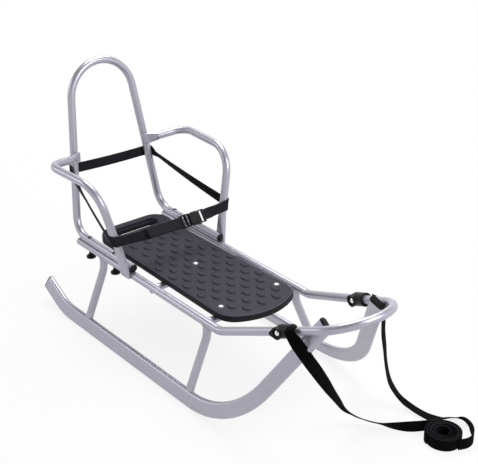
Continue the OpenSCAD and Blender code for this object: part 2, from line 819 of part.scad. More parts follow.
frame_tube();
rail_plugs();
runner_right();
runner_left();
runner_plugs();
leg_front_right();
leg_front_left();
leg_rear_right();
leg_rear_left();
crossbar_front();
crossbar_middle();
crossbar_rear();
seat();
seat_screws();
backrest_hoop();
backrest_plugs();
backrest_bolts();
backrest_knobs();
armrest_right();
armrest_left();
belt_webbing();
belt_buckle();
tow_clamp_right();
tow_clamp_left();
tow_clamp_bolts();
tow_strap_right();
tow_strap_left();
tow_strap_coil();
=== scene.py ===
import json
import math

import bmesh
import bpy
import numpy as np
from mathutils import Matrix, Vector


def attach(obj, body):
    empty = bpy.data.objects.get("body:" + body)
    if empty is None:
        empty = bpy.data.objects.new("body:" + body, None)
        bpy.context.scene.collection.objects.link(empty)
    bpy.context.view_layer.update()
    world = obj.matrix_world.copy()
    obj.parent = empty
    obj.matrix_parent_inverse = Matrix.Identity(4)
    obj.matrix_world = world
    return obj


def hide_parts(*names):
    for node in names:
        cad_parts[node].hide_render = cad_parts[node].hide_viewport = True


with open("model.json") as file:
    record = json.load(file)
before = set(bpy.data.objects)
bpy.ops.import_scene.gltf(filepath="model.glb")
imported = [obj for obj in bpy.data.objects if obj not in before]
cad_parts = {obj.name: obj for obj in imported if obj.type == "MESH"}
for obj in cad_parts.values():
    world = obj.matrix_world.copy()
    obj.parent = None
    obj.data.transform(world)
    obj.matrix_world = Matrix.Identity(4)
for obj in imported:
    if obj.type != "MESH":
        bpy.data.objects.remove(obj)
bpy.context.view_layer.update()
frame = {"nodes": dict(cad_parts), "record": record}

MM = 0.001
SIDES = (-1, 1)

# Camera, measured on the photograph: place in metres and aim in degrees, in the sled's frame
CAMERA_PLACE = (1.7167, -1.32158, 1.35283)
CAMERA_AZIMUTH = 51.4224
CAMERA_HEIGHT = 25.8533
CAMERA_ROLL = -0.4317
CAMERA_LENS = 86.04
CAMERA_SENSOR = 36.0
CAMERA_REACH = 20.0

# Sizes that the looks share with the CAD part, in millimetres and degrees
TUBE_R = 9.0
RAIL_HALF = 120.0
RAIL_Z = 174.0
RAIL_END = -382.5
KINK_X = 146.5
FOOT_X = -396.5
FOOT_TIP = -161.5
FOOT_Z = 192.0
BACK_LEAN = 8.4
UPRIGHT_HALF = 118.0
UPRIGHT_LEAN = 6.55
CROSS_FRONT = KINK_X - 54.0
CROSS_MIDDLE = KINK_X - 241.0
CROSS_REAR = RAIL_END + 89.0
WEB_W = 25.0
WEB_T = 2.0


def aim_camera():
    """The photograph's camera: right, up and back directions from azimuth, height and roll."""
    azimuth = math.radians(CAMERA_AZIMUTH)
    height = math.radians(CAMERA_HEIGHT)
    right = Vector((math.cos(azimuth), math.sin(azimuth), 0))
    back = Vector((
        math.sin(azimuth) * math.cos(height),
        -math.cos(azimuth) * math.cos(height),
        math.sin(height),
    ))
    turned = Matrix((right, back.cross(right), back)).transposed()
    turned = turned @ Matrix.Rotation(math.radians(CAMERA_ROLL), 3, "Z")
    data = bpy.data.cameras.new("photo_camera")
    data.sensor_width = CAMERA_SENSOR
    data.sensor_fit = "HORIZONTAL"
    data.lens = CAMERA_LENS
    data.clip_end = CAMERA_REACH
    camera = bpy.data.objects.new("photo_camera", data)
    camera.matrix_world = Matrix.Translation(CAMERA_PLACE) @ turned.to_4x4()
    bpy.context.scene.collection.objects.link(camera)
    bpy.context.scene.camera = camera


class Wire:
    """An output in a shader tree. Sums and products of wires add Math nodes."""

    def __init__(self, tree, socket):
        self.tree = tree
        self.socket = socket

    def math(self, operation, first, second=0.0):
        node = self.tree.nodes.new("ShaderNodeMath")
        node.operation = operation
        for place, value in enumerate((first, second)):
            plug_in(self.tree, node.inputs[place], value)
        return Wire(self.tree, node.outputs[0])

    def __add__(self, other):
        return self.math("ADD", self, other)

    def __radd__(self, other):
        return self.math("ADD", other, self)

    def __sub__(self, other):
        return self.math("SUBTRACT", self, other)

    def __rsub__(self, other):
        return self.math("SUBTRACT", other, self)

    def __mul__(self, other):
        return self.math("MULTIPLY", self, other)

    def __rmul__(self, other):
        return self.math("MULTIPLY", other, self)

    def __truediv__(self, other):
        return self.math("DIVIDE", self, other)

    def sine(self):
        return self.math("SINE", self)

    def size(self):
        return self.math("ABSOLUTE", self)

    def fraction(self):
        return self.math("FRACT", self)

    def clamp(self):
        return self.math("MINIMUM", self.math("MAXIMUM", self, 0.0), 1.0)


def plug_in(tree, socket, value):
    """Links a wire to a socket, or sets the socket's value."""
    if isinstance(value, Wire):
        tree.links.new(value.socket, socket)
    else:
        socket.default_value = value


def fill_ramp(ramp, stops):
    """Sets a colour ramp's stops: (place, colour)."""
    while len(ramp.elements) < len(stops):
        ramp.elements.new(0.5)
    for element, (place, colour) in zip(ramp.elements, stops):
        element.position = place
        element.color = colour


class Shading:
    """The node tree of a material or of the world, in the making."""

    def __init__(self, owner):
        owner.use_nodes = True
        self.tree = owner.node_tree
        self.tree.nodes.clear()

    def node(self, kind, settings=None, sockets=None, out=0):
        """One node: its settings first, then its sockets by name or number. Gives one output, if any."""
        node = self.tree.nodes.new(kind)
        for name, value in (settings or {}).items():
            if name == "stops":
                fill_ramp(node.color_ramp, value)
            else:
                setattr(node, name, value)
        for name, value in (sockets or {}).items():
            plug_in(self.tree, node.inputs[name], value)
        return Wire(self.tree, node.outputs[out]) if node.outputs else None

    def split(self, vector, part):
        return self.node("ShaderNodeSeparateXYZ", sockets={0: vector}, out=part)

    def background_rays(self):
        """1 for the rays that show the background itself: straight, in metal or through glass."""
        straight, mirrored, through = (
            self.node("ShaderNodeLightPath", out="Is %s Ray" % kind)
            for kind in ("Camera", "Glossy", "Transmission")
        )
        return (straight + mirrored + through).clamp()


class Finish(Shading):
    """A material in the making, with a Principled surface."""

    def __init__(self, name):
        self.material = bpy.data.materials.new(name)
        super().__init__(self.material)
        self.surface = self.node("ShaderNodeBsdfPrincipled")

    def set(self, **values):
        inputs = self.surface.socket.node.inputs
        for name, value in values.items():
            plug_in(self.tree, inputs[name.replace("_", " ")], value)

    def done(self, shader=None):
        """Shows a shader, or else the plain surface, and gives the material."""
        self.node("ShaderNodeOutputMaterial", sockets={0: shader or self.surface})
        return self.material

    def place(self):
        return self.node("ShaderNodeTexCoord", out="Object")

    def cloth_place(self):
        """Distance along and across a strap, in metres, from its UV map."""
        uv = self.node("ShaderNodeTexCoord", out="UV")
        return self.split(uv, "X"), self.split(uv, "Y")

    def noise(self, scale, detail):
        return self.node(
            "ShaderNodeTexNoise",
            sockets={"Vector": self.place(), "Scale": scale, "Detail": detail, "Roughness": 0.5},
        )

    def mix(self, share, first, second):
        """A colour between two colours."""
        return self.node(
            "ShaderNodeMix",
            settings={"data_type": "RGBA"},
            sockets={0: share, 6: first, 7: second},
            out=2,
        )

    def bump(self, height, strength, distance):
        return self.node(
            "ShaderNodeBump",
            sockets={"Height": height, "Strength": strength, "Distance": distance},
        )


def grey(value, violet=0.0):
    """A grey, or one that leans to violet."""
    return (value, value * (1 - 0.3 * violet), value * (1 + violet), 1)


def silver_paint():
    """Silver-grey powder coat: fine orange peel, a little sparkle and uneven gloss."""
    finish = Finish("silver_paint")
    cloud = finish.noise(scale=9.0, detail=3.0)
    grain = finish.noise(scale=1500.0, detail=1.0)
    peel = finish.noise(scale=260.0, detail=2.0)
    tone = finish.mix(cloud, (0.37, 0.361, 0.427, 1), (0.44, 0.43, 0.5, 1))
    tone = finish.mix((grain - 0.5).size() * 0.5, tone, (0.5, 0.49, 0.55, 1))
    finish.set(
        Base_Color=tone,
        Metallic=0.7,
        Roughness=0.33 + cloud * 0.08,
        Coat_Weight=0.25,
        Coat_Roughness=0.2,
        Normal=finish.bump(peel, strength=0.012, distance=0.0005),
    )
    return finish.done()


def black_plastic():
    """Black moulded plastic with a fine spark-eroded grain."""
    finish = Finish("black_plastic")
    grain = finish.noise(scale=1300.0, detail=2.0)
    cloud = finish.noise(scale=30.0, detail=2.0)
    finish.set(
        Base_Color=finish.mix(cloud, (0.006, 0.006, 0.007, 1), (0.010, 0.010, 0.012, 1)),
        Roughness=0.28 + cloud * 0.14,
        Specular_IOR_Level=0.15,
        Normal=finish.bump(grain, strength=0.12, distance=0.0004),
    )
    return finish.done()


# The painted highlight line on the seat's rounded edge, above the painted shade on its sides: its height,
# how softly it blends, and its half width in blends
PAINTED_RIM_Z = 190.1 * MM
PAINTED_RIM_BLEND = 0.8 * MM
PAINTED_HIGHLIGHT_HALF = 1.2


def seat_plastic():
    """Charcoal moulded plastic, grained, with a painted highlight line on its rounded edge and painted
    shade on its sides.
    """
    finish = Finish("seat_plastic")
    grain = finish.noise(scale=900.0, detail=3.0)
    cloud = finish.noise(scale=14.0, detail=3.0)
    height = finish.split(finish.place(), "Z")
    # painted shade: the sides below the rounded edge are darkened
    side = ((PAINTED_RIM_Z - height) / PAINTED_RIM_BLEND).clamp()
    # painted highlight: a pale line along the rounded edge
    line = (PAINTED_HIGHLIGHT_HALF - (height - PAINTED_RIM_Z).size() / PAINTED_RIM_BLEND).clamp()
    tone = finish.mix(cloud, (0.013, 0.0108, 0.021, 1), (0.018, 0.0153, 0.027, 1))
    tone = finish.mix(side, tone, (0.004, 0.0036, 0.006, 1))
    tone = finish.mix(line, tone, (0.07, 0.064, 0.09, 1))
    finish.set(
        Base_Color=tone,
        Roughness=0.5 + cloud * 0.10,
        Specular_IOR_Level=0.2,
        Normal=finish.bump(grain, strength=0.14, distance=0.0005),
    )
    return finish.done()


def zinc_steel():
    """Bright zinc-plated steel, a little mottled."""
    finish = Finish("zinc_steel")
    cloud = finish.noise(scale=160.0, detail=3.0)
    finish.set(
        Base_Color=finish.mix(cloud, (0.74, 0.74, 0.76, 1), (0.86, 0.86, 0.87, 1)),
        Metallic=0.9,
        Roughness=0.2 + cloud * 0.15,
        Normal=finish.bump(cloud, strength=0.05, distance=0.0004),
    )
    return finish.done()


WEAVE_PITCH = 1.7 * MM
WEFT_PITCH = 0.8 * WEAVE_PITCH
CHEVRON_W = 10 * WEAVE_PITCH
CHEVRON_LEAN = 1.2
WEB_VIOLET = 0.15
# Where the painted sheen on the edges begins, from the webbing's middle, and how often it comes and goes
# along its run
PAINTED_SHEEN_FROM = 11.8 * MM
PAINTED_SHEEN_BLEND = 0.5 * MM
PAINTED_SHEEN_RUN = 137 * MM


def woven_webbing(name, light, sheen_tone):
    """Black polyester webbing: a herringbone of cords, with painted highlight on their crowns, painted
    shade between them and painted sheen on the edges.
    """
    finish = Finish(name)
    along, across = finish.cloth_place()
    lean = ((across / CHEVRON_W).fraction() - 0.5).size() * CHEVRON_W
    cords = ((along + lean * CHEVRON_LEAN) * (math.tau / WEAVE_PITCH)).sine() * 0.5 + 0.5
    weft = (across * (math.tau / WEFT_PITCH)).sine() * 0.5 + 0.5
    relief = cords * 0.65 + weft * 0.35
    # painted sheen: the edges are made lighter, in waves along the run
    sheen_wave = (along * (math.tau / PAINTED_SHEEN_RUN)).sine() * 0.5 + 0.5
    edge = ((across.size() - PAINTED_SHEEN_FROM) / PAINTED_SHEEN_BLEND).clamp() * sheen_wave
    cloud = finish.noise(scale=60.0, detail=2.0)
    # painted shade in the grooves between cords and painted highlight on their crowns
    tone = finish.mix(relief, grey(0.3 * light, WEB_VIOLET), grey(light, WEB_VIOLET))
    tone = finish.mix(cloud * 0.3, tone, grey(1.3 * light, WEB_VIOLET))
    finish.set(
        Base_Color=finish.mix(edge, tone, grey(sheen_tone, WEB_VIOLET)),
        Roughness=0.7 + cords * 0.2,
        Specular_IOR_Level=0.03,
        Normal=finish.bump(relief, strength=0.5, distance=0.0006),
    )
    return finish.done()


FINISHES = {
    "silver_paint": silver_paint(),
    "black_plastic": black_plastic(),
    "seat_plastic": seat_plastic(),
    "zinc_steel": zinc_steel(),
    "webbing": woven_webbing("webbing", light=0.004, sheen_tone=0.02),
    "belt": woven_webbing("belt_webbing", light=0.026, sheen_tone=0.04),
}


def dress_frame():
    """Gives every CAD piece the finish of its material slot."""
    for piece in frame["record"]["subparts"]:
        mesh = frame["nodes"][piece["node"]].data
        mesh.materials.clear()
        mesh.materials.append(FINISHES[piece["material_slot"]])


def add_piece(name, mesh, slot, nodes=(), finish=None):
    """Links a mesh as a piece of the sled, in place of the CAD nodes that it stands for."""
    piece = bpy.data.objects.new(name, mesh)
    bpy.context.scene.collection.objects.link(piece)
    if not mesh.materials:
        mesh.materials.append(FINISHES[finish or slot])
    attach(piece, "root")
    if nodes:
        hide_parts(*nodes)
    return piece


# Tow strap: a row is the middle of the webbing and its way across, in millimetres
STRAP_RIGHT = (
    (344, -101, 267, 0.92, 0.09, 0.38),
    (348, -112, 262, 0.9, 0.15, 0.4),
    (362, -109, 246, 0.5, 0.6, 0.6),
    (373, -104, 231, 0.3, 0.8, 0.52),
    (385, -94, 208, 0.3, 0.6, 0.7),
    (387, -77, 181, 0.07, 0.83, 0.55),
    (387, -52, 142, -0.24, 0.81, 0.54),
    (386, -29, 107, -0.57, 0.68, 0.46),
    (386, -7, 74, -0.77, 0.54, 0.36),
    (388, 10, 53, -0.98, 0.19, 0.07),
    (390, 24, 39, -0.99, 0.12, -0.1),
    (394, 39, 27, -0.91, 0.22, -0.36),
    (405, 54, 19, -0.73, 0.41, -0.55),
    (421, 70, 14.5, -0.58, 0.51, -0.65),
    (441, 87, 13, -0.29, 0.28, -0.9),
    (463, 110, 13, 0, 0, -1),
    (480, 137, 13, 0, 0, -1),
    (491, 158, 13, 0, 0, -1),
)
STRAP_LEFT = (
    (343, 110, 250, 0.2, 0, 1),
    (362, 113, 253, 0, -0.5, 0.9),
    (376, 109, 252, 0.1, -0.9, 0.5),
    (386, 99, 244, 0.3, -0.9, 0.2),
    (392, 92, 230, 0.42, -0.84, 0.36),
    (394, 91, 205, 0.49, -0.87, 0.09),
    (396, 95, 172, 0.55, -0.83, -0.14),
    (393, 105, 128, 0.6, -0.76, -0.27),
    (389, 120, 85, 0.62, -0.72, -0.32),
    (390, 134, 56, 0.7, -0.66, -0.28),
    (396, 153, 25, 0.74, -0.67, -0.12),
    (412, 167, 8, 0.45, -0.88, 0.17),
    (440, 171, 4, 0.19, -0.97, 0.19),
    (463, 176, 4, 0.36, -0.94, 0.1),
    (479, 186, 7.5, 0.54, -0.71, 0.44),
    (489, 199, 9, 0.54, -0.66, 0.53),
    (503, 210, 10, 0.19, -0.77, 0.6),
    (522, 210, 12.5, -0.16, -0.38, 0.91),
    (541, 201, 13, -0.04, -0.02, 1),
    (558, 189, 13, 0, 0, 1),
    (569, 173, 13, 0, 0, 1),
    (571, 156, 13, 0, 0, 1),
    (564, 138, 13, 0, 0, 1),
)
STRAP_STEP = 3.0
# The webbing's section: shares of its half width, and of its half thickness there
SECTION_SHARES = ((-1, 0.45), (-0.96, 0.9), (-0.6, 1), (0, 1), (0.6, 1), (0.96, 0.9), (1, 0.45))


def smooth_rows(rows, step):
    """A curve through the rows (Catmull-Rom), sampled about every step."""
    rows = np.array(rows, float)
    padded = np.vstack([2 * rows[0] - rows[1], rows, 2 * rows[-1] - rows[-2]])
    out = []
    for i in range(1, len(padded) - 2):
        a, b, c, d = padded[i - 1 : i + 3]
        slope = c - a
        bend = 2 * a - 5 * b + 4 * c - d
        twist = 3 * b - a - 3 * c + d
        count = max(2, int(np.linalg.norm(c[:3] - b[:3]) / step))
        for t in np.arange(count) / count:
            out.append(0.5 * (2 * b + slope * t + bend * t**2 + twist * t**3))
    out.append(rows[-1])
    return np.array(out)


def ribbon(name, rows, width=WEB_W, thick=WEB_T):
    """A flat strap's closed mesh along rows of middles and ways across, with its UV map in metres."""
    middle = rows[:, :3]
    onward = np.gradient(middle, axis=0)
    onward /= np.linalg.norm(onward, axis=1)[:, None]
    across = rows[:, 3:] - onward * np.sum(rows[:, 3:] * onward, axis=1)[:, None]
    across /= np.linalg.norm(across, axis=1)[:, None]
    face = np.cross(onward, across)
    outline = [(s, h) for s, h in SECTION_SHARES] + [(s, -h) for s, h in reversed(SECTION_SHARES)]
    run = np.concatenate([[0], np.cumsum(np.linalg.norm(np.diff(middle, axis=0), axis=1))])
    form = bmesh.new()
    rings = []
    for i in range(len(rows)):
        rings.append([
            form.verts.new((middle[i] + across[i] * s * width / 2 + face[i] * h * thick / 2) * MM)
            for s, h in outline
        ])
    uv = form.loops.layers.uv.new("strap")
    count = len(outline)
    for i in range(len(rings) - 1):
        j = i + 1
        for k in range(count):
            m = (k + 1) % count
            quad = form.faces.new((rings[i][k], rings[i][m], rings[j][m], rings[j][k]))
            quad.smooth = True
            for loop, at, corner in zip(quad.loops, (i, i, j, j), (k, m, m, k)):
                loop[uv].uv = (run[at] * MM, outline[corner][0] * width / 2 * MM)
    form.faces.new(rings[0])
    form.faces.new(list(reversed(rings[-1])))
    bmesh.ops.recalc_face_normals(form, faces=form.faces)
    return to_mesh(name, form)


def to_mesh(name, form):
    """A finished bmesh as a mesh."""
    mesh = bpy.data.meshes.new(name)
    form.to_mesh(mesh)
    form.free()
    return mesh


ROLL_X = 525.0
ROLL_Y = 138.0
ROLL_Z = WEB_W / 2 + 1.0
ROLL_OUTER = 36.6
ROLL_INNER = 13.0
ROLL_LOOSE = 23.0
ROLL_PITCH = 2.15
ROLL_LOOSE_PITCH = 4.2
ROLL_LAYER = 1.7
ROLL_STEPS = 72
# How far the roll's turns wander sideways and up, in two waves each
ROLL_SWAY = (0.35, 0.25)
ROLL_RISE = (0.6, 0.2)


def strap_roll():
    """The rolled middle of the tow strap: a spiral, looser inside, whose turns stand unevenly."""
    rows = []
    angle, radius = 0.0, ROLL_INNER
    while radius < ROLL_OUTER:
        pitch = ROLL_LOOSE_PITCH if radius < ROLL_LOOSE else ROLL_PITCH
        sway = ROLL_SWAY[0] * math.sin(2.0 * angle + 0.7) + ROLL_SWAY[1] * math.sin(0.37 * angle)
        rise = ROLL_RISE[0] * math.sin(1.9 * radius) + ROLL_RISE[1] * math.sin(3.0 * angle)
        x = ROLL_X + (radius + sway) * math.cos(angle)
        y = ROLL_Y + (radius + sway) * math.sin(angle)
        rows.append((x, y, ROLL_Z + rise, 0.0, 0.0, 1.0))
        angle += math.tau / ROLL_STEPS
        radius += pitch / ROLL_STEPS
    mesh = ribbon("strap_roll", np.array(rows), thick=ROLL_LAYER)
    return add_piece("strap_roll", mesh, "webbing", ["tow_strap_coil"])


def tow_strap():
    """Both runs of the tow strap, from the clamps to the roll."""
    roll = strap_roll()
    runs = (("tow_strap_right", STRAP_RIGHT, [roll]), ("tow_strap_left", STRAP_LEFT, []))
    for node, route, pieces_on_it in runs:
        rows = smooth_rows(route, STRAP_STEP)
        piece = add_piece(node + "_webbing", ribbon(node, rows), "webbing", [node])


# The axis of the left armrest's front post, from its foot to its top
POST_FOOT = np.array([FOOT_TIP - 14.0, 132.1, FOOT_Z])
POST_TOP = np.array([FOOT_TIP - 37.0, 178.0, 383.0])


def upright_at(z, side):
    """The axis of a backrest upright at a height, in millimetres."""
    run = (z - FOOT_Z) / math.cos(math.radians(BACK_LEAN))
    return np.array([
        FOOT_X - run * math.sin(math.radians(BACK_LEAN)),
        side * (UPRIGHT_HALF - run * math.tan(math.radians(UPRIGHT_LEAN))),
        z,
    ])


def post_at(z, side):
    """The axis of an armrest's front post at a height, in millimetres."""
    share = (z - POST_FOOT[2]) / (POST_TOP[2] - POST_FOOT[2])
    place = POST_FOOT + (POST_TOP - POST_FOOT) * share
    return place * np.array([1, side, 1])


def upright_way(side):
    """The webbing's way across where it goes round an upright."""
    return (-0.15, -0.11 * side, 0.98)


def post_way(side):
    """The webbing's way across where it goes round a front post."""
    return (-0.12, 0.23 * side, 0.97)


# Belt: where it ends in the buckle, its heights, its sags and its distance from a tube's axis
BUCKLE_MID = 55.0
BELT_IN = (-30.0, 28.0)
BELT_NEAR_Z = 337.0
BELT_FAR_Z = 332.0
BELT_FRONT_Z = 261.0
FRONT_SAG = 6.0
NEAR_SAG = 6.0
FAR_SAG = 3.0
BACK_SAG = 2.0
BELT_GAP = 0.8
BELT_OUT = TUBE_R + BELT_GAP + WEB_T / 2
BACK_WAY = (0.1, 0, 1)
# The stretch between two tubes that a run takes up, as shares of it
RUN_SHARES = (0.04, 0.96)
# Rows of webbing in each stretch of the belt
FRONT_NEAR_ROWS = 54
FRONT_FAR_ROWS = 24
SIDE_ROWS = 30
BACK_ROWS = 24
TURN_ROWS = 8
TAIL_ROWS = 36
# The slack side runs lie over: share of the way from upright to post, and the way across there
NEAR_LIE = (
    (0.0, (-0.1, 0.1, 1)),
    (0.35, (0.12, -0.31, 0.88)),
    (0.85, (0.12, -0.31, 0.88)),
    (1.0, post_way(-1)),
)
FAR_LIE = (
    (0.0, (-0.1, -0.1, 1)),
    (0.08, (0.28, -0.52, 0.78)),
    (0.9, (0.06, -0.12, 0.97)),
    (1.0, post_way(1)),
)
# The front span: distance from the sled's middle, and how far its upper edge lies back
FRONT_LIE = ((-160, -0.05), (-95, -0.1), (-70, 0.75), (92, 0.75), (112, 0.1), (160, 0.1))


def table_at(table, place):
    """A value between the rows of a table of (place, value)."""
    places = [row[0] for row in table]
    values = np.array([row[1] for row in table], float)
    if values.ndim == 1:
        return float(np.interp(place, places, values))
    return np.array([np.interp(place, places, column) for column in values.T])


def droop(sag, share):
    """How far a slack run hangs at a share of its way."""
    return sag * 4 * share * (1 - share)


def round_tube(centre, way, start, stop):
    """Rows of webbing round a tube, between two angles in degrees."""
    rows = []
    for angle in np.radians(np.linspace(start, stop, TURN_ROWS)):
        place = centre + BELT_OUT * np.array([math.cos(angle), math.sin(angle), 0])
        rows.append((*place, *way))
    return rows


def side_run(post, upright, side, lie, sag):
    """A slack run of the belt outside the seat, from a post to its upright."""
    rows = []
    for share in np.linspace(*RUN_SHARES, SIDE_ROWS):
        place = post + (upright - post) * share + np.array([0, side * BELT_OUT, -droop(sag, share)])
        rows.append((*place, *table_at(lie, 1 - share)))
    return rows


def back_run(near_upright, far_upright):
    """The run of the belt behind the uprights."""
    rows = []
    for share in np.linspace(*RUN_SHARES, BACK_ROWS):
        place = near_upright + (far_upright - near_upright) * share
        place -= np.array([BELT_OUT, 0, droop(BACK_SAG, share)])
        rows.append((*place, *BACK_WAY))
    return rows


def front_at(y):
    """The middle of the belt's front span and its way across, at a distance from the sled's middle."""
    post = post_at(BELT_FRONT_Z, -1)
    share = y / abs(post[1])
    lie = table_at(FRONT_LIE, y)
    way = np.array([-lie, 0, 1]) / math.hypot(lie, 1)
    return np.array([post[0] + BELT_OUT, y, BELT_FRONT_Z - FRONT_SAG * (1 - share * share)]), way


def front_run(start, stop, count):
    """Rows of the belt's front span between two distances from the sled's middle."""
    return [np.concatenate(front_at(y)) for y in np.linspace(start, stop, count)]


def belt():
    """The belt, from the buckle round the posts and uprights and back to it, with a slack front."""
    near_post, far_post = (post_at(BELT_FRONT_Z, side) for side in SIDES)
    near_upright, far_upright = upright_at(BELT_NEAR_Z, -1), upright_at(BELT_FAR_Z, 1)
    reach = RUN_SHARES[1] * far_post[1]
    rows = front_run(BUCKLE_MID + BELT_IN[0], -reach, FRONT_NEAR_ROWS)
    rows += round_tube(near_post, post_way(-1), 350, 270)
    rows += side_run(near_post, near_upright, -1, NEAR_LIE, NEAR_SAG)
    rows += round_tube(near_upright, upright_way(-1), 270, 180)
    rows += back_run(near_upright, far_upright)
    rows += round_tube(far_upright, upright_way(1), 180, 90)
    rows += side_run(far_post, far_upright, 1, FAR_LIE, FAR_SAG)[::-1]
    rows += round_tube(far_post, post_way(1), 90, 10)
    rows += front_run(reach, BUCKLE_MID + BELT_IN[1], FRONT_FAR_ROWS)
    mesh = ribbon("belt_webbing_loop", np.array(rows))
    add_piece("belt_webbing_loop", mesh, "webbing", ["belt_webbing"], finish="belt")


TAIL_START = -76.0
TAIL_STOP = 24.0
TAIL_W = WEB_W + 1.0
TAIL_OFF = 2.6
TAIL_LIFT = 9.0


def belt_tail():
    """The belt's free end, doubled over in front of the span, its end standing off a little."""
    rows = []
    for share in np.linspace(0, 1, TAIL_ROWS):
        place, way = front_at(TAIL_START + (TAIL_STOP - TAIL_START) * share)
        out = np.cross(way, (0, -1, 0))
        off = TAIL_OFF + TAIL_LIFT * (1 - share) ** 3
        rows.append((*(place + out * off), *way))
    mesh = ribbon("belt_tail", np.array(rows), width=TAIL_W)
    add_piece("belt_tail", mesh, "webbing", finish="belt")


# The buckle's blocks: from and to along the belt, half width or outer and inner half width,
# and from and to in depth
BUCKLE_BODY = ((-12, 14, 13.6, -4.5, 4.5), (-11, 12, 11, 4.0, 5.4), (13, 18.5, 12.8, -2.0, 2.0))
BUCKLE_BARS = ((-34, -30, 14.6, -3.5, 5.0), (-23, -19, 14.6, -3.5, 5.0), (24.5, 30, 15.2, -2.0, 2.2))
BUCKLE_RAILS = ((-34, -11, 15, 12.6, -3.5, 4.2), (16, 30, 15.2, 12.6, -2.0, 2.2))
BUCKLE_FINGERS = ((-4, 12, 15.6, 12.8, -3.2, 3.2),)
BUCKLE_BEVEL = 0.8


def buckle():
    """The side-release buckle: socket, tongue with its two fingers, and bars for the webbing."""
    blocks = [(a, b, -w, w, c, d) for a, b, w, c, d in BUCKLE_BODY + BUCKLE_BARS]
    for a, b, outer, inner, c, d in BUCKLE_RAILS + BUCKLE_FINGERS:
        blocks += [(a, b, inner, outer, c, d), (a, b, -outer, -inner, c, d)]
    place, way = front_at(BUCKLE_MID)
    out = np.cross(way, (0, -1, 0))
    turned = Matrix((Vector((0, 1, 0)), Vector(way), Vector(out))).transposed().to_4x4()
    turned.translation = Vector(place)
    form = bmesh.new()
    for a, b, c, d, e, f in blocks:
        fit = Matrix.Translation(((a + b) / 2, (c + d) / 2, (e + f) / 2))
        fit = fit @ Matrix.Diagonal((b - a, d - c, f - e, 1))
        made = bmesh.ops.create_cube(form, size=1, matrix=Matrix.Scale(MM, 4) @ turned @ fit)
        edges = {edge for vert in made["verts"] for edge in vert.link_edges}
        bmesh.ops.bevel(
            form,
            geom=list(edges),
            offset=BUCKLE_BEVEL * MM,
            segments=2,
            affect="EDGES",
            profile=0.5,
        )
    bmesh.ops.recalc_face_normals(form, faces=form.faces)
    mesh = to_mesh("side_release_buckle", form)
    add_piece("side_release_buckle", mesh, "black_plastic", ["belt_buckle"])


def new_tree(name, inputs):
    """A Geometry Nodes tree with a geometry socket and named inputs: (name, kind, value)."""
    tree = bpy.data.node_groups.new(name, "GeometryNodeTree")
    tree.interface.new_socket("Geometry", in_out="INPUT", socket_type="NodeSocketGeometry")
    for title, kind, value in inputs:
        socket = tree.interface.new_socket(title, in_out="INPUT", socket_type="NodeSocket" + kind)
        if value is not None:
            socket.default_value = value
    tree.interface.new_socket("Geometry", in_out="OUTPUT", socket_type="NodeSocketGeometry")
    return tree, tree_node(tree, "NodeGroupInput").outputs


def tree_node(tree, kind, settings=None, sockets=None):
    """One node of a Geometry Nodes tree: settings first, then values or links of its sockets."""
    node = tree.nodes.new(kind)
    for name, value in (settings or {}).items():
        setattr(node, name, value)
    for name, value in (sockets or {}).items():
        if hasattr(value, "is_linked"):
            tree.links.new(value, node.inputs[name])
        else:
            node.inputs[name].default_value = value
    return node


def finish_tree(tree, instances, material, smooth):
    """Ends a tree: instances made real, shaded smooth or flat and given their material."""
    real = tree_node(tree, "GeometryNodeRealizeInstances", sockets={0: instances})
    shaded = tree_node(
        tree,
        "GeometryNodeSetShadeSmooth",
        sockets={"Geometry": real.outputs[0], "Shade Smooth": smooth},
    )
    coated = tree_node(
        tree,
        "GeometryNodeSetMaterial",
        sockets={"Geometry": shaded.outputs[0], "Material": material},
    )
    tree_node(tree, "NodeGroupOutput", sockets={0: coated.outputs[0]})


def grow(name, mesh, tree, values, slot):
    """Runs a tree on a mesh, its inputs set by identifier, and keeps the result as a plain piece."""
    seed = bpy.data.objects.new(name + "_seed", mesh)
    bpy.context.scene.collection.objects.link(seed)
    modifier = seed.modifiers.new("grow", "NODES")
    modifier.node_group = tree
    for item in tree.interface.items_tree:
        if item.in_out == "INPUT" and item.name in values:
            modifier[item.identifier] = values[item.name]
    bpy.context.view_layer.update()
    depsgraph = bpy.context.evaluated_depsgraph_get()
    grown = bpy.data.meshes.new_from_object(seed.evaluated_get(depsgraph))
    seed.modifiers.remove(modifier)
    bpy.data.objects.remove(seed)
    grown.name = name
    add_piece(name, grown, slot)


# Seat: its flat top, the end of its raised grip and the rounding of its nose
SEAT_TOP = 191.5
SEAT_FRONT = KINK_X + 20
SEAT_END = RAIL_END + 19
SEAT_HALF = 97.0
SEAT_HALF_REAR = 90.0
GRIP_RUN = 78.0
NOSE_R = 140.0
NOSE_RUN = 60.0
NOSE_BOW = 90.0
SCREW_HALF = 75.0
SCREWS = (
    (CROSS_FRONT, -SCREW_HALF),
    (CROSS_FRONT, SCREW_HALF),
    (CROSS_MIDDLE, 0),
    (CROSS_REAR, -SCREW_HALF),
    (CROSS_REAR, SCREW_HALF),
)
# Pads: their rows along the seat and files across it, their size and what they keep clear of
PAD_ROWS = range(-16, 8)
PAD_FILES = range(-5, 6)
PAD_FIRST = 4.7
PAD_ROW = 25.5
PAD_HALF = 19.75
PAD_R = 7.6
PAD_H = 1.5
PAD_SINK = 0.05
PAD_CROWN_SHARE = 0.74
PAD_STRETCH = (1.65, 1.0, 1.0)
PAD_EDGE = 14.0
PAD_SCREW_GAP = 5.0


